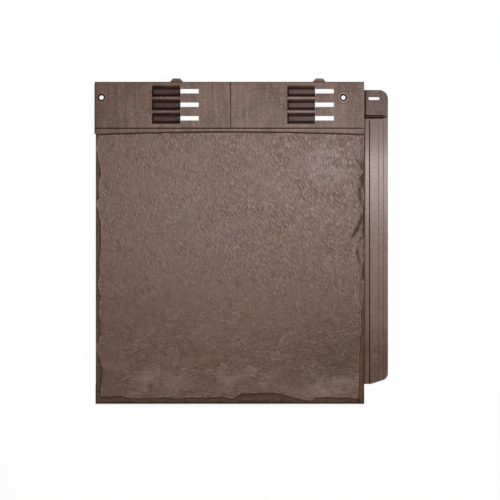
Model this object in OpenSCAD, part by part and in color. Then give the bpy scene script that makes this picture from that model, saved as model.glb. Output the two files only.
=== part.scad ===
// Plastic roof tile with a slate face, moulded in one piece and lying face up.
// The tail points to -Y, the head to +Y and the side flange to +X. Sizes are in mm.

/* [Slate face] */
// Width that one tile covers on the roof
cover_w = 300.1; // [270:0.1:340]
// Length of the slate face along its side edges
face_l = 300.5; // [250:0.1:340]
// Height of the face at its side edges
face_z = 12.5; // [12:0.1:14]
// Rise of the face from its side edges to its middle
crown_rise = 1; // [0.5:0.1:1.5]
// Wall thickness of the face
face_t = 3; // [2.4:0.1:3.5]
// Distance that the left wall and the tail lean in from the floor to the face
wall_lean = 2; // [0.4:0.1:2.6]
// Distance that the left wall of the face is set back from the head's
face_set = 0.4; // [0:0.1:1.6]
// Distance that the right wall leans in from the floor to the top
right_lean = 0.8; // [0.2:0.1:1.2]

/* [Chipped edges] */
// Depth of the deepest chips in the tail
tail_chip_h = 7.6; // [3:0.1:8.4]
// Depth of the deepest chips in the left edge
left_chip_h = 7; // [3:0.1:7.6]
// Depth of the deepest chips in the right edge
right_chip_h = 3.6; // [2:0.1:5]
// Step down into a flake of the right edge
flake_step = 0.7; // [0.3:0.1:1]
// Fall of a flake towards the edge in degrees
flake_fall = 5; // [2:0.5:8]

/* [Weather bar] */
// Width of the weather bar at its ends
bar_w = 6.9; // [6:0.1:8]
// Distance by which the bar is narrower in the middle
bar_arch = 3; // [1:0.1:3]
// Height of the bar's crest above the head
bar_lift = 0.3; // [0:0.1:0.8]
// Width of the flat crest
crest_w = 0.9; // [0.5:0.1:1.4]
// Fall of the bar towards the tail in degrees
bar_fall = 8; // [4:0.5:12]
// Width of the groove between bar and head
bar_groove_w = 1.4; // [0.8:0.1:1.6]
// Depth of the groove between bar and head
bar_groove_d = 2; // [0.5:0.1:2.4]
// Width of the groove along the foot of the bar
foot_groove_w = 2; // [1:0.1:2.2]
// Depth of the groove along the foot of the bar
foot_groove_d = 1.2; // [0.4:0.1:1.6]

/* [Head] */
// Length of the head from the bar to the head edge
head_l = 51.5; // [50:0.5:60]
// Height of the top of the head
head_z = 14.5; // [14.3:0.1:16]
// Wall thickness of the head
head_t = 3; // [2.6:0.1:3.6]
// Distance that the left side and the head edge of the head lean in towards the top
head_lean = 0.8; // [0.3:0.1:1.2]
// Radius of the head's corners
head_corner_r = 3; // [2:0.1:4]
// Distance from the left edge to the centre mark
mark_x = 151.2; // [140:0.1:160]
// Width of the centre mark
mark_w = 0.9; // [0.4:0.1:1.2]
// Depth of the centre mark
mark_d = 0.8; // [0.3:0.1:1]
// Width of a head tab at its foot
tab_foot_w = 13.6; // [11:0.1:16]
// Width of a head tab at its tip
tab_tip_w = 10.2; // [7:0.1:11]
// Distance that a head tab stands out from the head edge
tab_reach = 3; // [2:0.1:4]
// Radius of the corners of a head tab
tab_r = 1.6; // [0.8:0.1:2]
// Distance from the left edge to the middle of the left tab
tab_left_x = 91.2; // [70:0.1:110]
// Distance between the middles of the two tabs
tab_pitch = 158.3; // [140:0.1:170]

/* [Nail holes] */
// Diameter of a nail hole
nail_d = 4.8; // [4:0.1:5.5]
// Diameter of the seat for the nail's head
nail_seat_d = 8; // [6:0.1:9]
// Depth of the seat for the nail's head
nail_seat_h = 1.5; // [0.8:0.1:1.8]
// Distance from the head edge to the nail holes
nail_drop = 18.1; // [14:0.1:22]
// Distance from the left edge to the left nail hole
nail_left_x = 7.9; // [7.5:0.1:12]
// Distance between the two nail holes
nail_pitch = 268.4; // [255:0.1:272]
// Diameter of the boss under a nail hole
nail_boss_d = 13; // [11:0.5:14]
// Diameter of the bore in the boss
nail_bore_d = 7.4; // [6:0.1:8]
// Diameter of the raised ring around the right nail hole
nail_ring_d = 12; // [10:0.1:13]
// Height of the raised ring
nail_ring_h = 0.3; // [0.2:0.1:0.4]

/* [Hook windows] */
// Distance from the left edge to the left end of the first row of slots
window_x = 95.2; // [85:0.1:105]
// Distance between the two windows
window_pitch = 150; // [140:0.5:155]
// Number of slots in a window
slot_rows = 3; // [2:1:3]
// Distance from the head edge to the middle of the first slot
slot_drop = 11.1; // [11:0.1:12]
// Distance between the middles of two slots
slot_pitch = 15; // [14.2:0.1:15]
// Length of a slot
slot_l = 20.6; // [14:0.1:24]
// Width of a slot
slot_w = 5; // [4.6:0.1:6]
// Length of the channel beside a slot
channel_l = 31.2; // [24:0.1:36]
// Width of a channel at the top of the head
channel_mouth_w = 12.6; // [10.5:0.1:13.6]
// Width of a channel between its upright walls
channel_w = 8.4; // [7.6:0.1:9]
// Depth of the sloped flanks of a channel
flank_h = 7.4; // [5:0.1:8]
// Depth of a channel at its floor
channel_h = 11.4; // [10:0.1:11.6]
// Width of the slide bar in a channel
slide_w = 4.6; // [3.6:0.1:5]
// Depth of the top of the slide bar
slide_h = 9; // [8.2:0.1:9.4]
// Gap between the slide bar and the end wall
slide_gap = 1.8; // [1:0.1:3]
// Wall and floor thickness of the channel box
box_t = 2.2; // [1.8:0.1:2.4]

/* [Side flange] */
// Width of the flange
flange_w = 26.3; // [22:0.1:32]
// Thickness of the flange
flange_t = 3; // [2.6:0.1:3.4]
// Distance from the head edge to the flange
flange_drop = 9; // [5:0.5:12]
// Distance from the tail to the flange
flange_gap = 22.4; // [15:0.1:30]
// Radius of the upper outer corner
flange_head_r = 10; // [4:0.5:11]
// Radius of the lower outer corner
flange_tail_r = 8; // [4:0.5:9]
// Length of the straight part of the lower end
flange_foot_w = 7.3; // [4:0.1:9]
// Slope of the lower end in degrees
flange_slope = 18; // [8:1:26]
// Width of the groove between the head's wall and the flange
root_w = 2; // [0.8:0.1:2.4]
// Depth of the groove between the head's wall and the flange
root_d = 1.4; // [0.5:0.1:1.8]
// Distance from the tile's wall to the drain groove
drain_x = 5.2; // [3.5:0.1:6]
// Width of the drain groove
drain_w = 1.2; // [0.8:0.1:1.6]
// Depth of the drain groove
drain_d = 1.5; // [0.5:0.1:1.8]
// Distance from the tile's wall to the first seam
seam_x = 15.7; // [12:0.1:16]
// Distance between the two seams
seam_pitch = 5.6; // [4:0.1:5.8]
// Width of a seam
seam_w = 0.7; // [0.4:0.1:1]
// Depth of a seam
seam_d = 0.5; // [0.2:0.1:0.8]
// Distance from the head edge to the middle of the water stop
stop_drop = 39; // [35:0.5:42]
// Width of the water stop at its foot
stop_foot_w = 4.2; // [3.4:0.1:5]
// Width of the water stop at its top
stop_top_w = 1.1; // [0.8:0.1:1.6]
// Height of the water stop above the flange
stop_h = 3.6; // [2:0.1:4.2]
// Length of the water stop's pointed end
stop_point_l = 6; // [2:0.1:8]
// Distance from the outer edge to the water stop
stop_gap = 0.4; // [0.2:0.1:3]
// Length of the nail slot
nail_slot_l = 12.4; // [8:0.1:14]
// Width of the nail slot
nail_slot_w = 3.2; // [2.8:0.1:5]
// Distance from the tile's wall to the middle of the nail slot
nail_slot_x = 10.8; // [9:0.1:12]
// Distance from the head edge to the middle of the nail slot
nail_slot_drop = 18.5; // [17:0.1:22]

/* [Underside] */
// Thickness of the outer walls at the floor
skirt_t = 3; // [2.4:0.1:4]
// Thickness of the wall under the weather bar
web_t = 4; // [3:0.1:4.6]
// Width of the tail's thick rim at the face
tail_rim_w = 14; // [13:0.5:18]
// Width of the side rims at the face
side_rim_w = 10.5; // [10:0.5:14]
// Clearance over the flange of the next tile
lap_clear = 0.4; // [0.2:0.1:0.8]
// Clearance beside the flange of the next tile
lap_side_clear = 1; // [0.5:0.1:2]
// Thickness of the ribs
rib_t = 2; // [1.6:0.1:2.6]
// Gap from the ribs under the face to the floor
rib_gap = 5; // [3:0.1:5.5]
// Number of ribs from tail to head
long_ribs = 3; // [1:1:4]
// Number of ribs from side to side
cross_ribs = 4; // [2:1:5]

/* [Hidden] */
$fn = 64;
// Flats across the tile that give the crown and the arch
arc_steps = 24;
// Sides of the discs that give the flakes
flake_sides = 128;
// Reach of a flat break past the edge
break_reach = 60;
// Overlap where two shapes are joined, and reach of a cut past a surface
join = 0.5;
past = 2;

total_w = cover_w + flange_w;
total_l = face_l + bar_w + head_l + tab_reach;
x_left = -total_w / 2;
x_right = x_left + cover_w;
x_out = total_w / 2;
x_mid = (x_left + x_right) / 2;
y_tail = -total_l / 2;
y_face = y_tail + face_l;
y_bar = y_face + bar_w;
y_head = y_bar + head_l;
crest_z = head_z + bar_lift;
head_floor_z = head_z - head_t;
lap_z = flange_t + lap_clear;
x_lap = x_left + flange_w + lap_side_clear;
y_web = y_bar - web_t;
y_flange_head = y_head - flange_drop;
y_flange_tail = y_tail + flange_gap;
nail_y = y_head - nail_drop;
box_z = head_z - channel_h - box_t;

// Broken edges as [place along the edge from 0 to 1, width of the break, share of the deepest chip].
// A share holds from its own place to the next one.
// The tail goes from its left end, the left edge from the head and the right edge from the tail.
TAIL_BREAKS = [
    [0, 8.5, 1], [0.1, 10, 0.9], [0.13, 8, 0.7], [0.17, 7, 0.9], [0.21, 8, 0.7], [0.27, 8.5, 0.9],
    [0.31, 6.5, 0.8], [0.335, 8.5, 1], [0.39, 8.5, 0.9], [0.415, 8, 1], [0.465, 9.5, 0.8], [0.51, 7, 0.9],
    [0.54, 13, 0.9], [0.6, 13.5, 1], [0.66, 14, 0.9], [0.695, 12.5, 1], [0.725, 9, 0.9], [0.755, 7, 0.9],
    [0.785, 5, 0.8], [0.805, 5, 0.9], [0.825, 8, 0.8], [0.86, 9, 1], [0.895, 8, 0.8], [0.94, 8.5, 0.9],
    [0.975, 7, 1], [1, 2, 1]
];
LEFT_BREAKS = [
    [0, 5, 0.8], [0.06, 2.4, 0.7], [0.08, 4, 1], [0.15, 8, 0.8], [0.175, 4.5, 0.9], [0.235, 5.5, 0.7],
    [0.25, 2.8, 0.6], [0.27, 2.8, 0.8], [0.285, 5, 1], [0.335, 7.5, 0.9], [0.41, 7.5, 0.8], [0.475, 5, 1],
    [0.505, 6.5, 0.8], [0.56, 4, 0.9], [0.6, 7, 1], [0.665, 4.5, 0.7], [0.69, 7, 0.9], [0.74, 7, 1],
    [0.765, 5, 0.7], [0.78, 2.8, 0.6], [0.8, 2.8, 0.7], [0.815, 5, 0.9], [0.84, 6.5, 0.8], [0.865, 9.5, 1],
    [0.91, 8.5, 0.9], [0.95, 7.5, 1], [1, 7.5, 1]
];
RIGHT_BREAKS = [
    [0, 7, 1], [0.19, 6.5, 0.9], [0.21, 5, 0.8], [0.24, 5, 0.9], [0.28, 3.6, 0.8], [0.33, 4.4, 0.9],
    [0.36, 3.2, 0.8], [0.58, 2.8, 0.9], [0.74, 2.4, 0.8], [0.86, 1.6, 0.8], [1, 1.2, 0.8]
];
// Shell-shaped flakes off the right edge as [place along the edge, length, width]
RIGHT_FLAKES = [[0.41, 36, 9.3], [0.565, 35, 9.8], [0.79, 38, 8.8]];

// Places across the tile where the crown and the arch change direction
ACROSS = [for (i = [0 : arc_steps]) x_left - past + i * (cover_w + 2 * past) / arc_steps];

// Share of a bow across the tile: 1 in the middle and 0 at the sides
function bow(x) = 1 - pow((x - x_mid) / (cover_w / 2), 2);

// Height of the face across the tile
function crown_z(x) = face_z + crown_rise * bow(x);

// Line of the bar's foot across the tile
function foot_y(x) = y_face + bar_arch * bow(x);

// A prism along Y from y0 to y1 with its outline in X and Z
module along_y(y0, y1, points) {
    translate([0, y1, 0])
        rotate([90, 0, 0])
            linear_extrude(y1 - y0)
                polygon(points);
}

// A prism along X from x0 to x1 with its outline in Y and Z
module along_x(x0, x1, points) {
    translate([x0, 0, 0])
        rotate([90, 0, 90])
            linear_extrude(x1 - x0)
                polygon(points);
}

// A box between two corners
module span(low, high) {
    translate(low)
        cube(high - low);
}

// Everything below the crowned face, sunk by a wall thickness
module below_crown(sink) {
    along_y(-total_l, total_l, concat(
        [[x_right + past, -2 * past], [x_left - past, -2 * past]],
        [for (x = ACROSS) [x, crown_z(x) - sink]]
    ));
}

// A shell-shaped flake with a flat floor, off an edge that runs along X with the tile on its +Y side
module flake(length, width) {
    r = (pow(length / 2, 2) + pow(width, 2)) / (2 * width);
    translate([0, width, -flake_step])
        rotate([flake_fall, 0, 0])
            translate([0, -r, 0])
                cylinder(r1 = r, r2 = r + past, h = past, $fn = flake_sides);
}

// A flat break between two places on an edge that runs along X with the tile on its +Y side
module flat_break(x0, x1, width0, width1, depth) {
    turn = atan2(width1 - width0, x1 - x0);
    fall = atan2(depth, (width0 + width1) / 2 * cos(turn));
    intersection() {
        span([x0 - join, -break_reach, -break_reach], [x1, break_reach, break_reach]);
        translate([x0, width0, 0])
            rotate([0, 0, turn])
                rotate([fall, 0, 0])
                    span([-break_reach, -break_reach, 0], [break_reach, 2 * past, break_reach]);
    }
}

// The flat breaks along one edge; rise gives the height of the face over the edge's own height at each break
module broken_edge(length, breaks, depth, rise) {
    for (i = [0 : len(breaks) - 2])
        translate([0, 0, rise[i]])
            flat_break(
                breaks[i][0] * length, breaks[i + 1][0] * length,
                breaks[i][1], breaks[i + 1][1], breaks[i][2] * depth
            );
}

// All that is broken off the tail and the two sides of the face
module broken_edges() {
    translate([x_left, y_tail, face_z])
        broken_edge(
            cover_w, TAIL_BREAKS, tail_chip_h,
            [for (b = TAIL_BREAKS) crown_rise * bow(x_left + b[0] * cover_w)]
        );
    intersection() {
        union() {
            translate([x_left, y_face, face_z])
                rotate([0, 0, -90])
                    broken_edge(face_l, LEFT_BREAKS, left_chip_h, [for (b = LEFT_BREAKS) 0]);
            translate([x_right, y_tail, face_z])
                rotate([0, 0, 90]) {
                    broken_edge(face_l, RIGHT_BREAKS, right_chip_h, [for (b = RIGHT_BREAKS) 0]);
                    for (f = RIGHT_FLAKES)
                        translate([f[0] * face_l, 0, 0])
                            flake(f[1], f[2]);
                }
        }
        span([x_left - past, y_tail - past, 0], [x_out, y_face, 2 * face_z]);
    }
}

// The outer block of the slate face with leaning walls
module face_block() {
    intersection() {
        along_y(y_tail, y_bar, [
            [x_left + face_set, 0], [x_right, 0], [x_right - right_lean, face_z],
            [x_right - right_lean, 2 * face_z], [x_left + face_set + wall_lean, 2 * face_z],
            [x_left + face_set + wall_lean, face_z]
        ]);
        along_x(x_left, x_right, [
            [y_tail, 0], [y_bar, 0], [y_bar, 2 * face_z],
            [y_tail + wall_lean, 2 * face_z], [y_tail + wall_lean, face_z]
        ]);
        below_crown(0);
    }
}

// The hollow under the face, with walls that follow the chipped edges
module face_hollow() {
    intersection() {
        along_y(y_tail, y_web, [
            [x_left + skirt_t, -past], [x_right - skirt_t, -past], [x_right - skirt_t, 0],
            [x_right - side_rim_w, face_z], [x_left + side_rim_w, face_z], [x_left + skirt_t, 0]
        ]);
        along_x(x_left, x_right, [
            [y_tail + skirt_t, -past], [y_web, -past], [y_web, 2 * face_z],
            [y_tail + tail_rim_w, 2 * face_z], [y_tail + tail_rim_w, face_z - face_t], [y_tail + skirt_t, 0]
        ]);
        below_crown(face_t);
    }
}

// The ribs that stay standing in the hollow
module face_ribs() {
    span([x_lap, y_tail, 0], [x_lap + rib_t, y_bar, face_z]);
    for (i = [1 : long_ribs])
        translate([x_lap + i * (x_right - x_lap) / (long_ribs + 1), 0, 0])
            span([-rib_t / 2, y_tail, rib_gap], [rib_t / 2, y_bar, face_z]);
    for (i = [1 : cross_ribs])
        translate([0, y_tail + i * (y_web - y_tail) / (cross_ribs + 1), 0])
            span([x_lap, -rib_t / 2, rib_gap], [x_right, rib_t / 2, face_z]);
}

// Everything on the tail side of the bar's foot, set back by a distance
module below_foot(back) {
    linear_extrude(2 * head_z)
        polygon(concat(
            [[x_right + past, y_tail], [x_left - past, y_tail]],
            [for (x = ACROSS) [x, foot_y(x) - back]]
        ));
}

// The groove along the foot of the bar
module foot_groove() {
    difference() {
        below_foot(0);
        below_foot(foot_groove_w);
        below_crown(foot_groove_d);
    }
}

// The slate face as a ribbed tray
module face_tray() {
    difference() {
        face_block();
        difference() {
            face_hollow();
            face_ribs();
        }
        broken_edges();
        foot_groove();
    }
}

// The outer block of the head and its bar with leaning walls
module head_block() {
    intersection() {
        along_y(y_face, y_head, [
            [x_left, 0], [x_right, 0], [x_right - right_lean, head_z],
            [x_right - right_lean, 2 * head_z], [x_left + head_lean, 2 * head_z],
            [x_left + head_lean, head_z], [x_left, head_floor_z]
        ]);
        along_x(x_left, x_right, [
            [y_face, 0], [y_head, 0], [y_head - head_lean, head_z], [y_head - head_lean, 2 * head_z],
            [y_face, 2 * head_z]
        ]);
    }
}

// The bar that keeps water out of the head, cut to an arch on its tail side
module weather_bar() {
    difference() {
        along_x(x_left, x_right, [
            [y_face, face_z - face_t], [y_bar + join, face_z - face_t], [y_bar + join, head_z - bar_groove_d],
            [y_bar - bar_groove_w, head_z - bar_groove_d], [y_bar - bar_groove_w, crest_z],
            [y_bar - bar_groove_w - crest_w, crest_z],
            [y_face, crest_z - (bar_w - bar_groove_w - crest_w) * tan(bar_fall)]
        ]);
        below_foot(0);
    }
}

// The head plate with the walls that stand on the batten
module head_plate() {
    span([x_left, y_bar, head_floor_z], [x_right, y_head, head_z]);
    span([x_lap, y_head - skirt_t, 0], [x_right, y_head, head_z]);
    span([x_right - skirt_t, y_bar - join, 0], [x_right, y_head, head_z]);
    span([x_lap, y_bar - join, 0], [x_lap + rib_t, y_head, head_z - head_t / 2]);
    span([x_mid - rib_t / 2, y_bar - join, rib_gap], [x_mid + rib_t / 2, y_head, head_z - head_t / 2]);
}

// What is taken off the head's two corners to round them
module head_corners() {
    for (side = [0, 1])
        translate([side == 0 ? x_left : x_right, y_head, -past])
            mirror([side, 0, 0])
                difference() {
                    span([-past, -head_corner_r, 0], [head_corner_r, past, head_z + 2 * past]);
                    translate([head_corner_r, -head_corner_r, 0])
                        cylinder(r = head_corner_r, h = head_z + 2 * past);
                }
}

// The two tabs on the head edge
module head_tabs() {
    foot = tab_foot_w / 2;
    tip = tab_tip_w / 2;
    for (x = [tab_left_x, tab_left_x + tab_pitch])
        translate([x_left + x, y_head, head_floor_z])
            linear_extrude(head_t) {
                polygon([
                    [-foot, -head_lean - join], [foot, -head_lean - join], [foot, 0],
                    [tip, tab_reach - tab_r], [tip - tab_r, tab_reach], [tab_r - tip, tab_reach],
                    [-tip, tab_reach - tab_r], [-foot, 0]
                ]);
                for (side = [-1, 1])
                    translate([side * (tip - tab_r), tab_reach - tab_r])
                        circle(r = tab_r);
            }
}

// The bosses under the nail holes, with a ring on the right one.
// The left boss stands on the next tile's flange.
module nail_bosses() {
    translate([x_left + nail_left_x, nail_y, lap_z])
        cylinder(d = nail_boss_d, h = head_z - head_t / 2 - lap_z);
    translate([x_left + nail_left_x + nail_pitch, nail_y, 0])
        cylinder(d = nail_boss_d, h = head_z - head_t / 2);
    translate([x_left + nail_left_x + nail_pitch, nail_y, head_floor_z])
        cylinder(d = nail_ring_d, h = head_t + nail_ring_h);
}

// The two nail holes with their seats, wider in the bosses than in the head
module nail_holes() {
    for (x = [nail_left_x, nail_left_x + nail_pitch])
        translate([x_left + x, nail_y, 0]) {
            translate([0, 0, -past])
                cylinder(d = nail_bore_d, h = head_floor_z + past);
            cylinder(d = nail_d, h = head_z + past);
            translate([0, 0, head_z - nail_seat_h])
                cylinder(d1 = nail_d, d2 = nail_seat_d, h = nail_seat_h);
            translate([0, 0, head_z])
                cylinder(d = nail_seat_d, h = past);
        }
}

// The box that holds the channels of a window, from the left end of its slots to the wall of the head edge
module channel_box() {
    reach = (channel_mouth_w + box_t) / 2;
    span(
        [-channel_l - box_t, -(slot_rows - 1) * slot_pitch - reach, box_z],
        [0, slot_drop - skirt_t + join, head_z - head_t / 2]
    );
}

// One row of a window: the channel with its slide bar, and the slot
module window_row() {
    half = channel_w / 2;
    along_x(-channel_l, 0, [
        [-channel_mouth_w / 2, head_z + past], [-channel_mouth_w / 2, head_z],
        [-half, head_z - flank_h], [-half, head_z - channel_h],
        [-slide_w / 2, head_z - channel_h], [-slide_w / 2, head_z - slide_h],
        [slide_w / 2, head_z - slide_h], [slide_w / 2, head_z - channel_h],
        [half, head_z - channel_h], [half, head_z - flank_h],
        [channel_mouth_w / 2, head_z], [channel_mouth_w / 2, head_z + past]
    ]);
    span([-channel_l, -half, head_z - channel_h], [-channel_l + slide_gap, half, head_z]);
    span([0, -slot_w / 2, -past], [slot_l, slot_w / 2, head_z + past]);
}

// Places something at the first slot of each window
module at_windows() {
    for (x = [window_x, window_x + window_pitch])
        translate([x_left + x, y_head - slot_drop, 0])
            children();
}

// The outline of the flange
module flange_outline() {
    tail_x = x_out - flange_tail_r;
    foot_x = x_right + flange_foot_w;
    run = tail_x - foot_x;
    tail_y = y_flange_tail + (flange_tail_r + run * sin(flange_slope)) / cos(flange_slope);
    head_x = x_out - flange_head_r;
    head_y = y_flange_head - flange_head_r;
    polygon([
        [x_right - skirt_t, y_flange_tail], [foot_x, y_flange_tail],
        [tail_x + flange_tail_r * sin(flange_slope), tail_y - flange_tail_r * cos(flange_slope)],
        [tail_x, tail_y], [x_out, tail_y], [x_out, head_y], [head_x, head_y],
        [head_x, y_flange_head], [x_right - skirt_t, y_flange_head]
    ]);
    translate([tail_x, tail_y])
        circle(r = flange_tail_r);
    translate([head_x, head_y])
        circle(r = flange_head_r);
}

// The water stop that closes the flange below its nail slot, with a pointed outer end
module water_stop() {
    foot = stop_foot_w / 2;
    top = stop_top_w / 2;
    crest = flange_t + stop_h;
    x_end = x_out - stop_gap;
    intersection() {
        along_x(x_right - skirt_t, x_end, [
            [-foot, flange_t - join], [foot, flange_t - join], [foot, flange_t],
            [top, crest], [-top, crest], [-foot, flange_t]
        ]);
        linear_extrude(crest)
            polygon([
                [x_right - skirt_t, -foot], [x_end - stop_point_l, -foot], [x_end, 0],
                [x_end - stop_point_l, foot], [x_right - skirt_t, foot]
            ]);
    }
}

// The long grooves in the top of the flange: beside the head's wall, and from the water stop to the lower end
module flange_grooves() {
    y_end = y_head - stop_drop - stop_foot_w;
    span(
        [x_right, y_head - stop_drop, flange_t - root_d],
        [x_right + root_w, y_flange_head + past, flange_t + past]
    );
    span(
        [x_right + drain_x, y_flange_tail - past, flange_t - drain_d],
        [x_right + drain_x + drain_w, y_end, flange_t + past]
    );
    for (x = [seam_x, seam_x + seam_pitch])
        span(
            [x_right + x - seam_w / 2, y_flange_tail - past, flange_t - seam_d],
            [x_right + x + seam_w / 2, y_end, flange_t + past]
        );
}

// The slot that lets the flange slide under its nail
module nail_slot() {
    half = (nail_slot_l - nail_slot_w) / 2;
    translate([x_right + nail_slot_x, y_head - nail_slot_drop, -past]) {
        for (x = [-half, half])
            translate([x, 0, 0])
                cylinder(d = nail_slot_w, h = flange_t + 2 * past);
        span([-half, -nail_slot_w / 2, 0], [half, nail_slot_w / 2, flange_t + 2 * past]);
    }
}

// The flange that the next tile laps over
module side_flange() {
    difference() {
        linear_extrude(flange_t)
            flange_outline();
        flange_grooves();
        nail_slot();
    }
    translate([0, y_head - stop_drop, 0])
        water_stop();
}

// The room that the next tile's flange takes up under the left edge
module lap_room() {
    span([x_left - past, y_flange_tail - lap_side_clear, -past], [x_lap, y_head + past, lap_z]);
}

// The line in the head that shows where two tiles of the course above meet
module centre_mark() {
    translate([x_left + mark_x, 0, 0])
        span([-mark_w / 2, y_bar, head_z - mark_d], [mark_w / 2, y_head + past, head_z + past]);
}

// The whole tile
module roof_tile() {
    color("#6b564d")
        difference() {
            union() {
                face_tray();
                intersection() {
                    head_block();
                    union() {
                        weather_bar();
                        head_plate();
                    }
                }
                head_tabs();
                nail_bosses();
                at_windows()
                    channel_box();
                side_flange();
            }
            at_windows()
                for (i = [0 : slot_rows - 1])
                    translate([0, -i * slot_pitch, 0])
                        window_row();
            nail_holes();
            head_corners();
            lap_room();
            centre_mark();
        }
}

roof_tile();
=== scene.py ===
"""Dresses the plastic roof tile: riven slate relief, moulded plastic finishes, studio light and camera."""

import logging
import math
from dataclasses import dataclass, field, replace
from enum import Enum, IntEnum
from functools import reduce
from operator import add, mul
from typing import Any, Mapping, Optional, Sequence, Union

import bmesh
import bpy
from mathutils import Matrix, Vector, noise
from mathutils.kdtree import KDTree


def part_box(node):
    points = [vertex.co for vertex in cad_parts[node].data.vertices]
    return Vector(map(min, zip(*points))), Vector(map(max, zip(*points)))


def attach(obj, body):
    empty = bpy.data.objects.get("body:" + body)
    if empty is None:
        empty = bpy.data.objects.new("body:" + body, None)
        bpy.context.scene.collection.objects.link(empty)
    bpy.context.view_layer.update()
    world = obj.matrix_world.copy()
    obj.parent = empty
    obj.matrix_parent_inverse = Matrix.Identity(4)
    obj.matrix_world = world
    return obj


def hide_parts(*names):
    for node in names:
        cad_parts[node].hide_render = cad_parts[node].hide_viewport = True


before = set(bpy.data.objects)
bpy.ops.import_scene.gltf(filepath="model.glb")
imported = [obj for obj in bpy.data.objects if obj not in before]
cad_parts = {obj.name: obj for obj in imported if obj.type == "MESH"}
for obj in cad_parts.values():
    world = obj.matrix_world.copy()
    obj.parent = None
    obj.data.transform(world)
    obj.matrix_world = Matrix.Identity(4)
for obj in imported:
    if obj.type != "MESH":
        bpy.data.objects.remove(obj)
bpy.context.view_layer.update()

LOG = logging.getLogger("roof_tile")
MM = 0.001
# The middle level of a shader's noise, of a share and of what is painted on a vertex.
MID = 0.5
# How far a face's normal points along the axis that the face looks along.
FACING = 0.9
# The falling strength, the finer size and the plain number of layers of the relief's noises.
FRACTAL = (1.0, 2.0)
LAYERS = 2

Socket = bpy.types.NodeSocket
Material = bpy.types.Material
Face = bmesh.types.BMFace
Colour = tuple[float, float, float]
Span = tuple[float, float]
Number = Union["Signal", float]
Place = tuple["Signal", "Signal", "Signal"]
Settings = Optional[Mapping[str, Any]]
Inputs = Optional[Mapping[Any, Any]]


def mm(first: float, second: float) -> Span:
    """Gives two lengths in millimetres as metres."""
    return first * MM, second * MM


class Zone(IntEnum):
    """The surfaces of the tile, as material places on its mesh."""

    SLATE = 0
    BROKEN = 1
    HEAD = 2
    FLANGE = 3
    POCKET = 4
    CREASE = 5
    GROOVE = 6
    TAB = 7
    FLANK = 8
    LAND = 9


class Tone(Enum):
    """The two ends of a moulded finish's colours."""

    LIGHT = "light"
    SHADE = "shade"


class Signal:
    """A number in a shader graph that takes part in Python expressions."""

    def __init__(self, graph: "Graph", socket: Socket) -> None:
        """Keeps the graph and the socket that carries the number."""
        self.graph = graph
        self.socket = socket

    def _math(self, operation: str, first: Number, second: Number) -> "Signal":
        """Adds one Math node with two inputs and gives its result."""
        return self.graph.number("ShaderNodeMath", {"operation": operation}, {0: first, 1: second})

    def __add__(self, other: Number) -> "Signal":
        """Gives self + other."""
        return self._math("ADD", self, other)

    def __radd__(self, other: Number) -> "Signal":
        """Gives other + self."""
        return self._math("ADD", other, self)

    def __sub__(self, other: Number) -> "Signal":
        """Gives self - other."""
        return self._math("SUBTRACT", self, other)

    def __rsub__(self, other: Number) -> "Signal":
        """Gives other - self."""
        return self._math("SUBTRACT", other, self)

    def __mul__(self, other: Number) -> "Signal":
        """Gives self * other."""
        return self._math("MULTIPLY", self, other)

    def __rmul__(self, other: Number) -> "Signal":
        """Gives other * self."""
        return self._math("MULTIPLY", other, self)

    def __truediv__(self, other: Number) -> "Signal":
        """Gives self / other."""
        return self._math("DIVIDE", self, other)

    def __abs__(self) -> "Signal":
        """Gives the size of the number."""
        return self._math("ABSOLUTE", self, 0.0)

    def _range(self, low: float, high: float, start: float, end: float) -> "Signal":
        """Changes smoothly from start at low to end at high."""
        inputs = {0: self, 1: low, 2: high, 3: start, 4: end}
        return self.graph.number("ShaderNodeMapRange", {"interpolation_type": "SMOOTHSTEP"}, inputs)

    def step(self, low: float, high: float) -> "Signal":
        """Rises smoothly from 0 at low to 1 at high."""
        return self._range(low, high, 0.0, 1.0)

    def fall(self, low: float, high: float) -> "Signal":
        """Falls smoothly from 1 at low to 0 at high."""
        return self._range(low, high, 1.0, 0.0)


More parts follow.
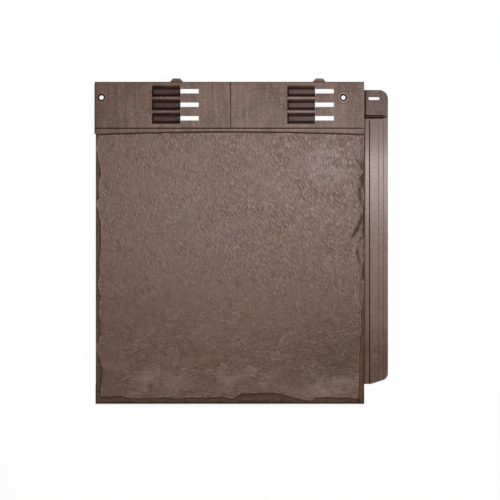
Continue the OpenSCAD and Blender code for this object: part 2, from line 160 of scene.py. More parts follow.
class Graph:
    """A material's node tree, written as expressions."""

    def __init__(self, name: str) -> None:
        """Starts an empty material of that name."""
        self.material = bpy.data.materials.new(name)
        self.material.use_nodes = True
        self.tree = self.material.node_tree
        self.tree.nodes.clear()

    def node(self, kind: str, settings: Settings = None, inputs: Inputs = None) -> bpy.types.Node:
        """Adds a node, sets it up and feeds its sockets.

        Args:
            kind: The node's type.
            settings: Properties to set first.
            inputs: Values, signals or sockets by the input's name or number.

        Returns:
            The node.
        """
        made = self.tree.nodes.new(kind)
        for key, value in (settings or {}).items():
            setattr(made, key, value)
        for key, value in (inputs or {}).items():
            if isinstance(value, Signal):
                value = value.socket
            if isinstance(value, Socket):
                self.tree.links.new(value, made.inputs[key])
            else:
                made.inputs[key].default_value = value
        return made

    def number(self, kind: str, settings: Settings = None, inputs: Inputs = None) -> Signal:
        """Adds a node and gives its first output as a signal."""
        return Signal(self, self.node(kind, settings, inputs).outputs[0])

    def position(self) -> Place:
        """Gives the place on the tile, in metres from the frame's origin.

        Returns:
            The place across the tile, along it and over the floor.
        """
        place = self.node("ShaderNodeTexCoord").outputs["Object"]
        parts = self.node("ShaderNodeSeparateXYZ", inputs={0: place})
        return Signal(self, parts.outputs[0]), Signal(self, parts.outputs[1]), Signal(self, parts.outputs[2])

    def point(self, x: Number, y: Number, z: Number) -> Socket:
        """Gives a vector made of three numbers."""
        return self.node("ShaderNodeCombineXYZ", inputs={0: x, 1: y, 2: z}).outputs[0]

    def painted(self, name: str) -> Signal:
        """Gives a number that the mesh carries at its vertices."""
        found = self.node("ShaderNodeAttribute", {"attribute_type": "GEOMETRY", "attribute_name": name})
        return Signal(self, found.outputs["Fac"])

    def noise(self, place: Socket, detail: float, rough: float, bend: float) -> Signal:
        """Gives noise about 0.5, with a cell size of one unit of place and so many finer layers."""
        inputs = {"Vector": place, "Scale": 1.0, "Detail": detail, "Roughness": rough, "Distortion": bend}
        return self.number("ShaderNodeTexNoise", {"noise_dimensions": "3D"}, inputs)

    def blend(self, share: Number, first: Any, second: Any) -> Socket:
        """Mixes two colours.

        Args:
            share: How much of the second colour is taken.
            first: A colour or a colour socket.
            second: A colour or a colour socket.

        Returns:
            The mixed colour's socket.
        """
        mixed = self.node("ShaderNodeMix", {"data_type": "RGBA", "clamp_factor": True}, {0: share})
        for place, colour in ((6, first), (7, second)):
            if isinstance(colour, Socket):
                self.tree.links.new(colour, mixed.inputs[place])
            else:
                mixed.inputs[place].default_value = (*colour, 1.0)
        return mixed.outputs[2]

    def bump(self, height: Signal, depth: float) -> Socket:
        """Gives the normal of a fine relief whose height goes from 0 to 1 over a depth in metres."""
        inputs = {"Strength": 1.0, "Distance": depth, "Height": height}
        return self.node("ShaderNodeBump", inputs=inputs).outputs[0]

    def plastic(
        self,
        tint: Socket,
        dull: Signal,
        normal: Socket,
        gloss: float,
        gloss_tint: Colour = (1.0, 1.0, 1.0),
    ) -> Material:
        """Makes a plastic the material's surface.

        Args:
            tint: The plastic's colour.
            dull: The plastic's roughness.
            normal: The normal of its fine relief.
            gloss: The level of its mirror reflection, 0.5 for plain plastic.
            gloss_tint: The colour of its mirror reflection.

        Returns:
            The material.
        """
        inputs = {
            "Base Color": tint,
            "Roughness": dull,
            "Normal": normal,
            "IOR": 1.5,
            "Specular IOR Level": gloss,
            "Specular Tint": (*gloss_tint, 1.0),
        }
        return self.surface(self.node("ShaderNodeBsdfPrincipled", inputs=inputs).outputs[0])

    def surface(self, shader: Socket) -> Material:
        """Makes a shader the material's surface and gives the material."""
        self.node("ShaderNodeOutputMaterial", inputs={"Surface": shader})
        return self.material


@dataclass(frozen=True)
class Cloud:
    """A noise over the tile, by the size of its cells; without a depth it is the same at every height."""

    width: float
    length: float
    depth: Optional[float] = None
    level: float = 0.0
    detail: float = 3.0
    rough: float = 0.6
    bend: float = 0.0

    def over(self, x: Signal, y: Signal, z: Optional[Signal] = None) -> Signal:
        """Reads the noise, a number about 0.5, at a place; only a cloud with a depth needs its height."""
        place = x.graph.point(x / self.width, y / self.length, z / self.depth if self.depth else self.level)
        return x.graph.noise(place, self.detail, self.rough, self.bend)


@dataclass(frozen=True)
class Level:
    """A share that comes or goes while a field rises from one level to another."""

    share: float
    low: float
    high: float

    def above(self, values: Signal) -> Signal:
        """Gives the share where the field is high."""
        return values.step(self.low, self.high) * self.share

    def under(self, values: Signal) -> Signal:
        """Gives the share where the field is low."""
        return values.fall(self.low, self.high) * self.share


@dataclass(frozen=True)
class Region:
    """A share of a part of the tile that lies between soft limits, in metres."""

    share: float
    right_of: Optional[Span] = None
    left_of: Optional[Span] = None
    above: Optional[Span] = None
    below: Optional[Span] = None
    deeper: Optional[Span] = None

    def over(self, place: Place) -> Signal:
        """Gives the share at a place.

        Args:
            place: The place on the tile.

        Returns:
            A number from 0 to the full share.
        """
        x, y, z = place
        limits = (
            (x.step, self.right_of),
            (x.fall, self.left_of),
            (y.step, self.above),
            (y.fall, self.below),
            (z.fall, self.deeper),
        )
        return reduce(mul, [change(*span) for change, span in limits if span is not None]) * self.share


@dataclass(frozen=True)
class Spot:
    """A share of an oval on the tile, or of a ring; its limits are squares of the way out in half sizes."""

    share: float
    centre: Span
    half: Span
    fall: Span = (0.1, 1.0)
    rise: Optional[Span] = None

    def over(self, place: Place) -> Signal:
        """Gives the share at a place.

        Args:
            place: The place on the tile.

        Returns:
            A number from 0 to the full share.
        """
        across = (place[0] - self.centre[0]) / self.half[0]
        along = (place[1] - self.centre[1]) / self.half[1]
        out = across * across + along * along
        share = out.fall(*self.fall) * self.share
        return share if self.rise is None else share * out.step(*self.rise)


Part = Union[Region, Spot]


def total(parts: Sequence[Part], place: Place) -> Signal:
    """Adds up the shares that several parts have of a place."""
    return reduce(add, [part.over(place) for part in parts])


@dataclass(frozen=True)
class Layer:
    """A lighter or darker tone over some parts of a moulded finish, mostly painted light and shade."""

    tone: Tone
    parts: tuple[Part, ...]


@dataclass(frozen=True)
class SlatePlastic:
    """Brown plastic moulded from riven slate: short fibres that turn across the face, drifting tints, and
    painted light and shade.
    """

    base: Colour = (0.116, 0.065, 0.045)
    olive: Colour = (0.122, 0.072, 0.045)
    mauve: Colour = (0.123, 0.066, 0.053)
    # Pale ridges of the grain, and the colour of painted highlights on lit facets, fold crests and rims.
    wear_and_highlight: Colour = (0.300, 0.212, 0.182)
    # The colour of a painted highlight where the lamp's glare falls on the upper right of the face.
    glare_tint: Colour = (0.235, 0.178, 0.170)
    warm: Colour = (0.117, 0.062, 0.035)
    # Dark pits and blotches of the grain, and painted shade in cracks, folds and darker parts of the face.
    pit_and_shade: Colour = (0.034, 0.015, 0.009)
    roughness: float = 0.36
    roughness_spread: float = 0.24
    drift_roughness: float = 0.10
    crease_roughness: float = 0.45
    gloss: float = 0.28
    relief: float = 0.90 * MM
    drift: Cloud = Cloud(55 * MM, 55 * MM, 55 * MM, rough=0.55)
    fibre: Cloud = Cloud(1.25 * MM, 5.5 * MM, detail=2.0, bend=0.5)
    grain: Cloud = Cloud(1.45 * MM, 1.45 * MM, 1.45 * MM, rough=0.65)
    lively: Cloud = Cloud(17 * MM, 21 * MM, level=8.3, detail=2.0, rough=0.5)
    patch: Cloud = Cloud(22 * MM, 22 * MM, 22 * MM)
    blotch: Cloud = Cloud(8 * MM, 10 * MM, level=2.7, detail=2.0, rough=0.5)
    scoop: Cloud = Cloud(30 * MM, 16 * MM, level=5.1, detail=2.0, rough=0.5)
    fold: Cloud = Cloud(36 * MM, 16 * MM, level=6.6, rough=0.55, bend=0.7)
    fibre_bend: float = 20 * MM
    fibre_share: float = 0.58
    fibre_share_lost: float = 0.22
    steep_lean: float = 6.0
    slant_lean: float = 24.0
    flat_lean: float = 70.0
    flat_bend: float = 2.0
    strand_lean: float = 17.0
    strand_size: float = 1.9
    strand_share: float = 0.08
    strand_share_added: float = 0.08
    middle_edge: Span = mm(45, 105)
    middle_wander: float = 160 * MM
    low_edge: Span = mm(-115, -45)
    low_wander: float = 140 * MM
    quiet: float = 0.85
    lively_level: Level = Level(0.30, 0.36, 0.64)
    contrast: float = 0.74
    contrast_part: Region = Region(0.26, right_of=mm(-130, 30))
    olive_level: Level = Level(1.0, 0.42, 0.70)
    base_level: Level = Level(0.4, 0.35, 0.70)
    warm_parts: tuple[Region, ...] = (
        Region(0.55, below=mm(-130, -30)),
        Region(0.35, below=mm(-130, -30), right_of=mm(20, 100)),
    )
    blotch_level: Level = Level(0.22, 0.30, 0.55)
    # Painted shade: darker towards the tail, in a band at the lower right above the tail, at the right
    # middle and in the top strip under the bar.
    painted_shade_parts: tuple[Region, ...] = (
        Region(0.36, right_of=mm(0, 120), below=mm(-140, -20), above=mm(-168, -140)),
        Region(0.07, below=mm(-150, 20)),
        Region(0.09, above=mm(100, 118)),
        Region(0.06, right_of=mm(75, 125), above=mm(-100, -40)),
    )
    # Painted highlight: the lamp's glare on the upper right, and lit facets near the tail, broken up by
    # blotches.
    pale_level: Level = Level(1.0, 0.34, 0.60)
    glare_spot: Spot = Spot(0.42, mm(95, 84), mm(29, 29))
    lit_facets: tuple[Spot, ...] = (Spot(0.17, mm(-88, -154), mm(32, 15)), Spot(0.23, mm(98, -160), mm(38, 14)))
    # Painted light on broad patches near the tail, as on lit facets.
    scoop_level: Level = Level(0.22, 0.48, 0.66)
    scoop_part: Region = Region(1.0, below=mm(-160, -110))
    # Folds in the lower part of the face, drawn as a dark line beside a light one: painted shade and
    # highlight.
    fold_level: Level = Level(1.0, 0.36, 0.60)
    fold_foot: float = 0.50
    fold_dark: Level = Level(0.32, 0.004, 0.030)
    fold_crest: float = 0.545
    fold_light: Level = Level(0.22, 0.004, 0.030)
    # Pale ridges of the grain, with a painted highlight that grows towards the upper right, under the lamp.
    bright: float = 0.28
    bright_level: Level = Level(1.0, 0.50, 0.65)
    bright_parts: tuple[Region, ...] = (
        Region(0.30, above=mm(-80, 80)),
        Region(0.21, above=mm(-80, 80), right_of=mm(-20, 100)),
    )
    # Dark pits of the grain, with painted shade that grows in the upper part, under the lamp.
    deep: float = 0.55
    deep_level: Level = Level(1.0, 0.36, 0.52)
    deep_part: Region = Region(0.35, above=mm(-80, 80))
    crease_level: Level = Level(0.85, 0.0, 0.75)
    rim_level: Level = Level(0.90, 0.40, 0.60)

    def fibres(self, x: Signal, y: Signal, bend: Signal, lean: float, size: float = 1.0) -> Signal:
        """Adds fibres that lie one way.

        Args:
            x: Place across the tile.
            y: Place along the tile.
            bend: How far the fibres are pushed sideways, in metres.
            lean: Angle of the fibres from the tile's length towards the lower right, in degrees.
            size: How many times as large as the plain fibres they are.

        Returns:
            A height about 0.5.
        """
        turn = math.radians(lean)
        along = x * math.sin(turn) - y * math.cos(turn) + bend
        across = x * math.cos(turn) + y * math.sin(turn) + bend
        width, length = self.fibre.width * size, self.fibre.length * size
        return replace(self.fibre, width=width, length=length, level=lean).over(across, along)

    def height(self, place: Place, drift: Signal, low: Signal) -> Signal:
        """Makes the fine relief: fibres that turn down the face, over a grain.

        Args:
            place: The place on the tile.
            drift: A slow noise that bends the fibres.
            low: How far the place belongs to the lower part of the face.

        Returns:
            A height about 0.5.
        """
        x, y, z = place
        bend = (drift - MID) * self.fibre_bend
        middle = (y + (drift - MID) * self.middle_wander).fall(*self.middle_edge)
        steep = self.fibres(x, y, bend, self.steep_lean)
        slant = self.fibres(x, y, bend, self.slant_lean)
        flat = self.fibres(x, y, bend * self.flat_bend, self.flat_lean)
        strand = self.fibres(x, y, bend, self.strand_lean, self.strand_size)
        fibre = steep + (slant - steep) * middle
        fibre = fibre + (flat - fibre) * low
        grain = self.grain.over(x, y, z)
        height = grain + (fibre - grain) * (self.fibre_share - low * self.fibre_share_lost)
        strand_share = (self.strand_share + middle * self.strand_share_added) * (1 - low)
        height = height + (strand - MID) * strand_share
        lively = self.quiet + self.lively_level.above(self.lively.over(x, y))
        return MID + (height - MID) * lively * (self.contrast + self.contrast_part.over(place))

    def make(self) -> Material:
        """Writes the material.

        Returns:
            The material.
        """
        g = Graph("slate_plastic")
        place = x, y, z = g.position()
        drift = self.drift.over(x, y, z)
        low = (y + (drift - MID) * self.low_wander).fall(*self.low_edge)
        height = self.height(place, drift, low)
        patch = self.patch.over(x, y, z)
        blotch = self.blotch.over(x, y)
        tint = g.blend(self.olive_level.above(patch), self.mauve, self.olive)
        tint = g.blend(self.base_level.above(drift), tint, self.base)
        tint = g.blend(total(self.warm_parts, place), tint, self.warm)
        # Random dark blotches, and painted shade over parts of the face.
        tint = g.blend(self.blotch_level.under(blotch) + total(self.painted_shade_parts, place), tint, self.pit_and_shade)
        # Painted highlight where the lamp's glare falls, and on lit facets near the tail.
        pale = self.pale_level.above(blotch)
        tint = g.blend(self.glare_spot.over(place) * pale, tint, self.glare_tint)
        for spot in self.lit_facets:
            tint = g.blend(spot.over(place) * pale, tint, self.wear_and_highlight)
        # Painted light on broad patches near the tail, as on lit facets.
        scoop = self.scoop_level.above(self.scoop.over(x, y)) * self.scoop_part.over(place)
        tint = g.blend(scoop, tint, self.wear_and_highlight)
        # Folds drawn as painted shade beside a painted highlight.
        fold = self.fold.over(x, y)
        folded = low * self.fold_level.above(patch)
        tint = g.blend(self.fold_dark.under(abs(fold - self.fold_foot)) * folded, tint, self.pit_and_shade)
        tint = g.blend(self.fold_light.under(abs(fold - self.fold_crest)) * folded, tint, self.wear_and_highlight)
        # Pale ridges, with a painted highlight stronger towards the upper right.
        bright = self.bright + total(self.bright_parts, place)
        tint = g.blend(self.bright_level.above(height) * bright, tint, self.wear_and_highlight)
        # Dark pits, with painted shade stronger in the upper part.
        deep = self.deep + self.deep_part.over(place)
        tint = g.blend(self.deep_level.under(height) * deep, tint, self.pit_and_shade)
        # Painted shade along the cracks.
        crease = g.painted("crease")
        tint = g.blend(self.crease_level.above(crease), tint, self.pit_and_shade)
        # Painted highlight along the rims of the broken edges.
        tint = g.blend(self.rim_level.above(blotch) * g.painted("rim"), tint, self.wear_and_highlight)
        dull = self.roughness + (height - MID) * self.roughness_spread + (drift - MID) * self.drift_roughness
        dull = dull + crease * self.crease_roughness
        return g.plastic(tint, dull, g.bump(height, self.relief), self.gloss)


@dataclass(frozen=True)
class BrokenPlastic:
    """The chipped edges: the same plastic, darker and matt, with painted shade under the rim, on the lip and
    at the foot, and a painted highlight on the rim.
    """

    base: Colour = (0.117, 0.064, 0.042)
    olive: Colour = (0.119, 0.077, 0.047)
    rust: Colour = (0.126, 0.055, 0.039)
    # The colour of a painted highlight along the rim.
    rim: Colour = (0.230, 0.145, 0.115)
    # Dark pits of the grain, darker towards the right, and painted shade under the rim, along the lip and at
    # the foot.
    pit_and_shade: Colour = (0.040, 0.020, 0.012)
    roughness: float = 0.62
    roughness_spread: float = 0.15
    gloss: float = 0.12
    relief: float = 0.40 * MM
    grain: Cloud = Cloud(2.2 * MM, 2.2 * MM, 2.2 * MM, bend=0.5)
    patch: Cloud = Cloud(16 * MM, 16 * MM, 6 * MM, detail=2.0)
    rust_level: Level = Level(0.8, 0.50, 0.66)
    olive_part: Region = Region(0.85, left_of=mm(-156, -150))
    right_part: Region = Region(0.22, right_of=mm(124, 128))
    # Painted shade along the foot of the tail.
    foot_part: Region = Region(0.75, below=mm(-179.4, -177.0))
    pit_level: Level = Level(0.5, 0.30, 0.52)
    chip_wander: float = 0.6
    # Painted shade just under the rim and along the lip at the tile's outside.
    inner_level: Level = Level(0.55, 0.10, 0.42)
    outer_level: Level = Level(0.90, 0.55, 0.85)
    rim_level: Level = Level(1.0, 0.35, 1.0)
    rim_share: float = 0.15
    rim_patch: Level = Level(0.65, 0.40, 0.60)

    def make(self) -> Material:
        """Writes the material.

        Returns:
            The material.
        """
        g = Graph("broken_plastic")
        place = x, y, z = g.position()
        grain = self.grain.over(x, y, z)
        patch = self.patch.over(x, y, z)
        tint = g.blend(self.rust_level.above(patch), self.base, self.rust)
        tint = g.blend(self.olive_part.over(place), tint, self.olive)
        tint = g.blend(self.right_part.over(place), tint, self.pit_and_shade)
        tint = g.blend(self.pit_level.under(grain), tint, self.pit_and_shade)
        # Painted shade under the rim, along the outer lip and at the foot of the tail.
        chip = g.painted("chip") + (patch - MID) * self.chip_wander
        tint = g.blend(self.inner_level.under(chip), tint, self.pit_and_shade)
        tint = g.blend(self.outer_level.above(chip), tint, self.pit_and_shade)
        tint = g.blend(self.foot_part.over(place), tint, self.pit_and_shade)
        # Painted highlight along the rim.
        rim = self.rim_level.above(g.painted("rim")) * (self.rim_share + self.rim_patch.above(patch))
        tint = g.blend(rim, tint, self.rim)
        dull = self.roughness + (grain - MID) * self.roughness_spread
        return g.plastic(tint, dull, g.bump(grain, self.relief), self.gloss)


@dataclass(frozen=True)
class MouldedPlastic:
    """The same plastic from a plain mould wall, clouded, with flow streaks along the tile and layers of
    painted light and shade.
    """

    name: str
    base: Colour
    light: Colour
    shade: Colour
    warm: Colour
    roughness: float
    gloss: float
    gloss_tint: Colour = (1.0, 1.0, 1.0)
    # Lighter or darker tones over parts of the finish, mostly painted light and shade.
    layers: tuple[Layer, ...] = ()
    dulled: tuple[Region, ...] = ()
    relief: float = 0.10 * MM
    flow: Cloud = Cloud(3.2 * MM, 26 * MM, 3.2 * MM, rough=0.55, bend=0.4)
    grain: Cloud = Cloud(2.4 * MM, 2.4 * MM, 2.4 * MM)
    cloud: Cloud = Cloud(26 * MM, 26 * MM, 26 * MM)
    patch: Cloud = Cloud(8 * MM, 9 * MM, 8 * MM, detail=2.0, rough=0.55)
    patch_shift: float = 24 * MM
    flow_share: float = 0.20
    warm_level: Level = Level(0.9, 0.44, 0.62)
    cloud_dark: Level = Level(0.80, 0.36, 0.60)
    flow_dark: Level = Level(0.34, 0.34, 0.54)
    flow_light: Level = Level(0.16, 0.52, 0.68)
    grain_light: Level = Level(0.55, 0.48, 0.68)
    grain_dark: Level = Level(0.65, 0.32, 0.52)
    cloud_roughness: float = 0.16
    grain_roughness: float = 0.14

    def make(self) -> Material:
        """Writes the material.

        Returns:
            The material.
        """
        g = Graph(self.name)
        place = x, y, z = g.position()
        flow = self.flow.over(x, y, z)
        grain = self.grain.over(x, y, z)
        cloud = self.cloud.over(x, y, z)
        patch = self.patch.over(x + self.patch_shift, y, z)
        height = flow * self.flow_share + grain * (1 - self.flow_share)
        tint = g.blend(self.warm_level.above(patch), self.base, self.warm)
        tint = g.blend(self.cloud_dark.under(cloud), tint, self.shade)
        tint = g.blend(self.flow_dark.under(flow), tint, self.shade)
        tint = g.blend(self.flow_light.above(flow), tint, self.light)
        tint = g.blend(self.grain_light.above(height), tint, self.light)
        tint = g.blend(self.grain_dark.under(height), tint, self.shade)
        tones = {Tone.LIGHT: self.light, Tone.SHADE: self.shade}
        for layer in self.layers:
            tint = g.blend(total(layer.parts, place), tint, tones[layer.tone])
        dull = self.roughness + (cloud - MID) * self.cloud_roughness + (grain - MID) * self.grain_roughness
        if self.dulled:
            dull = dull + total(self.dulled, place)
        return g.plastic(tint, dull, g.bump(height, self.relief), self.gloss, self.gloss_tint)


# Painted shade along the head's top and left edges, where its walls lean.
TOP_LINE = Region(0.90, above=mm(175.55, 176.75), below=mm(178.15, 178.55))
LEFT_LINE = Region(0.90, left_of=mm(-162.2, -160.8))
# Painted shade along the root of the flange beside the face, and over the flange's upper part, narrowing its
# highlight.
ROOT_LINE = Region(0.8, left_of=mm(137.3, 138.3))
UPPER_FLANGE = Region(0.5, above=mm(85, 128))
LIT_SIDE = mm(-20, 80)
# The centre of a painted highlight on the ring round the right nail seat, with painted shade just outside
# it.
RING_CENTRE = mm(113.1, 159.85)
RING_UNIT = mm(1, 1)

FINISHES: Mapping[Zone, Union[SlatePlastic, BrokenPlastic, MouldedPlastic]] = {
    Zone.SLATE: SlatePlastic(),
    Zone.BROKEN: BrokenPlastic(),
    Zone.HEAD: MouldedPlastic(
        name="head_plastic",
        base=(0.116, 0.068, 0.046), light=(0.200, 0.130, 0.102),
        shade=(0.060, 0.030, 0.018), warm=(0.126, 0.062, 0.050),
        roughness=0.44, gloss=0.27,
        layers=(
            Layer(Tone.SHADE, (Region(0.32, left_of=mm(-163.2, -103.2)),)),
            # Painted highlight on the raised ring round the right nail seat, then painted shade just outside
            # it.
            Layer(Tone.LIGHT, (Spot(0.80, RING_CENTRE, RING_UNIT, fall=(28, 34), rise=(17, 22)),)),
            Layer(Tone.SHADE, (Spot(0.60, RING_CENTRE, RING_UNIT, fall=(48, 56), rise=(32, 38)),)),
            # Painted highlight along the crest of the bar.
            Layer(Tone.LIGHT, (Region(0.55, right_of=mm(30, 90), above=mm(124, 125), below=mm(126, 127)),)),
            Layer(Tone.SHADE, (TOP_LINE, LEFT_LINE)),
        ),
        dulled=(replace(TOP_LINE, share=0.3), replace(LEFT_LINE, share=0.3)),
    ),
    Zone.FLANGE: MouldedPlastic(
        name="flange_plastic",
        base=(0.104, 0.058, 0.043), light=(0.156, 0.098, 0.078),
        shade=(0.072, 0.038, 0.027), warm=(0.112, 0.058, 0.045),
        roughness=0.25, gloss=0.41,
        gloss_tint=(1.0, 0.88, 0.85),
        layers=(
            # A painted sheen below the flange's highlight, then painted shade at its root and over its upper
            # part.
            Layer(Tone.LIGHT, (Region(0.6, above=mm(-118, -85), below=mm(-30, 20)),)),
            Layer(Tone.SHADE, (ROOT_LINE, UPPER_FLANGE)),
        ),
        dulled=(replace(ROOT_LINE, share=0.45), replace(UPPER_FLANGE, share=0.125)),
    ),
    # Pocket floors: a dark finish as painted shade, with painted light towards the right.
    Zone.POCKET: MouldedPlastic(
        name="pocket_painted_shade_and_light",
        base=(0.053, 0.025, 0.020), light=(0.090, 0.053, 0.046),
        shade=(0.032, 0.014, 0.010), warm=(0.060, 0.027, 0.023),
        roughness=0.50, gloss=0.14,
        layers=(Layer(Tone.LIGHT, (Region(0.85, right_of=LIT_SIDE),)),),
    ),
    # The darkest finish, as painted shade on steep walls of grooves, slots and seats.
    Zone.CREASE: MouldedPlastic(
        name="crease_painted_shade",
        base=(0.030, 0.011, 0.007), light=(0.042, 0.017, 0.012),
        shade=(0.020, 0.007, 0.005), warm=(0.034, 0.011, 0.007),
        roughness=0.65, gloss=0.06,
    ),
    # A dark finish, as painted shade in grooves, on the water stop and along the head's outer walls.
    Zone.GROOVE: MouldedPlastic(
        name="groove_painted_shade",
        base=(0.050, 0.023, 0.016), light=(0.072, 0.036, 0.026),
        shade=(0.030, 0.013, 0.008), warm=(0.056, 0.023, 0.016),
        roughness=0.60, gloss=0.08,
    ),
    Zone.TAB: MouldedPlastic(
        name="tab_plastic",
        base=(0.094, 0.055, 0.039), light=(0.158, 0.102, 0.082),
        shade=(0.050, 0.026, 0.017), warm=(0.102, 0.051, 0.042),
        roughness=0.44, gloss=0.24,
    ),
    # Pocket flanks: painted light towards the right, and painted shade near their foot.
    Zone.FLANK: MouldedPlastic(
        name="flank_painted_shade_and_light",
        base=(0.098, 0.051, 0.037), light=(0.138, 0.080, 0.062),
        shade=(0.024, 0.010, 0.007), warm=(0.102, 0.049, 0.037),
        roughness=0.58, gloss=0.09,
        layers=(
            Layer(Tone.LIGHT, (Region(0.5, right_of=LIT_SIDE),)),
            Layer(Tone.SHADE, (Region(0.9, deeper=mm(6.7, 9.2)),)),
        ),
    ),
    # Strips between the pockets: a darker finish as painted shade, with a painted highlight towards the
    # right.
    Zone.LAND: MouldedPlastic(
        name="land_painted_shade_and_light",
        base=(0.084, 0.046, 0.033), light=(0.215, 0.148, 0.122),
        shade=(0.048, 0.024, 0.016), warm=(0.090, 0.045, 0.034),
        roughness=0.40, gloss=0.27,
        layers=(Layer(Tone.LIGHT, (Region(0.40, right_of=LIT_SIDE),)),),
    ),
}


@dataclass(frozen=True)
class PaleFloor:
    """A matt floor that a camera sees as white, with a soft shadow left on it."""

    colour: Colour = (0.80, 0.80, 0.80)
    glow: float = 0.90

    def make(self) -> Material:
        """Writes the material.

        Returns:
            The material.
        """
        g = Graph("pale_floor")
        matt = g.node("ShaderNodeBsdfDiffuse", inputs={"Color": (*self.colour, 1.0)}).outputs[0]
        rest = 1.0 - self.glow
        faint = g.node("ShaderNodeBsdfDiffuse", inputs={"Color": (rest, rest, rest, 1.0)}).outputs[0]
        glow = g.node("ShaderNodeEmission", inputs={"Strength": self.glow}).outputs[0]
        seen = g.node("ShaderNodeAddShader", inputs={0: faint, 1: glow}).outputs[0]
        path = g.node("ShaderNodeLightPath").outputs
        look = Signal(g, path["Is Camera Ray"]) + Signal(g, path["Is Glossy Ray"])
        look = look + Signal(g, path["Is Transmission Ray"])
        return g.surface(g.node("ShaderNodeMixShader", inputs={0: look, 1: matt, 2: seen}).outputs[0])


@dataclass(frozen=True)
class Ripple:
    """The cells of a noise that shapes the mesh, and the level that the noise is cut at."""

    width: float
    length: float
    level: float
    shift: float = 0.0

    def at(self, x: float, y: float) -> Vector:
        """Gives the point of the noise for a place on the tile."""
        return Vector((x / self.width + self.shift, y / self.length, self.level))


@dataclass(frozen=True)
class Crack:
    """A line of painted shade along a crack in the slate, with the face lowered on its left hand and coming
    back up beside it.

    The path is in millimetres, and the other lengths are in metres.
    """

    path: tuple[Span, ...]
    drop: float
    reach: float
    dark: float = 1.0
    width: float = 2.2 * MM
    jag: float = 1.0 * MM
    jags: Ripple = Ripple(8 * MM, 4 * MM, 2.2)
    patches: Ripple = Ripple(5 * MM, 5 * MM, 6.4)
    patch_share: float = 0.8
    end_rate: float = 8.0
    end_share: float = 0.2

    def at(self, x: float, y: float) -> tuple[float, float]:
        """Gives how much painted shade the line puts at a place and how far the face is lowered there.

        Args:
            x: Place across the tile in metres.
            y: Place along the tile in metres.

        Returns:
            A share from 0 to 1, and a depth in metres.
        """
        xs = [place[0] * MM for place in self.path]
        ys = [place[1] * MM for place in self.path]
        far = max(self.reach, self.width)
        if not (min(xs) - far < x < max(xs) + far and min(ys) - far < y < max(ys) + far):
            return 0.0, 0.0
        here = Vector((x + self.jag * noise.noise(self.jags.at(x, y)), y))
        nearest, side, along = far, 0.0, 0.0
        count = len(self.path) - 1
        for i in range(count):
            start = Vector((xs[i], ys[i]))
            run = Vector((xs[i + 1], ys[i + 1])) - start
            share = min(1.0, max(0.0, (here - start).dot(run) / run.length_squared))
            off = here - start - run * share
            if off.length < nearest:
                nearest, side, along = off.length, run.cross(off), (i + share) / count
        fade = min(1.0, self.end_rate * min(along, 1 - along) + self.end_share)
        patchy = self.patch_share * (1 + noise.noise(self.patches.at(x, y)))
        line = self.dark * fade * patchy * max(0.0, 1 - nearest / self.width)
        if side <= 0 or nearest >= self.reach:
            return line, 0.0
        return line, self.drop * fade * min(1.0, nearest / self.width) * (1 - nearest / self.reach)


@dataclass(frozen=True)
class Swell:
    """A broad low rise in the slate, or a hollow where its height is less than nothing."""

    centre: Span
    half: Span
    height: float

    def rise(self, x: float, y: float) -> float:
        """Gives the height of the swell at a place.

        Args:
            x: Place across the tile in metres.
            y: Place along the tile in metres.

        Returns:
            A height in metres.
        """
        across = (x - self.centre[0]) / self.half[0]
        along = (y - self.centre[1]) / self.half[1]
        return self.height * math.exp(-across * across - along * along)


CRACKS = (
    Crack(((126.4, 91.9), (131.3, 86), (134.4, 77.6)), drop=0.5 * MM, reach=8 * MM, dark=0.8),
    Crack(
        ((135.3, 76), (134, 66.4), (131.8, 58.4), (130.3, 51.6), (132.3, 43), (136, 38.2)),
        drop=0.4 * MM, reach=7 * MM, dark=1.7, width=3.2 * MM,
    ),
    Crack(
        ((136.4, 37.4), (133.4, 26.1), (128.7, 14.8), (121.5, 3.5)),
        drop=0.8 * MM, reach=16 * MM, dark=1.4, width=2.8 * MM,
    ),
    Crack(
        ((129.2, -2.5), (128.6, -13.5), (130.9, -23.3), (134.5, -29.6)),
        drop=0.4 * MM, reach=8 * MM, dark=0.8,
    ),
    # The last line only paints shade along the right border of the face, with no drop.
    Crack(
        ((136.6, 150), (136.6, 20), (136.6, -60), (136.6, -178)),
        drop=0.0, reach=3 * MM, dark=0.6, width=8 * MM,
    ),
)
SWELLS = (
    Swell(mm(66, -144), mm(60, 21), -1.0 * MM),
    Swell(mm(118, -138), mm(34, 30), -0.8 * MM),
    Swell(mm(-70, -143), mm(34, 15), -0.5 * MM),
    Swell(mm(-120, -60), mm(30, 60), -0.4 * MM),
)


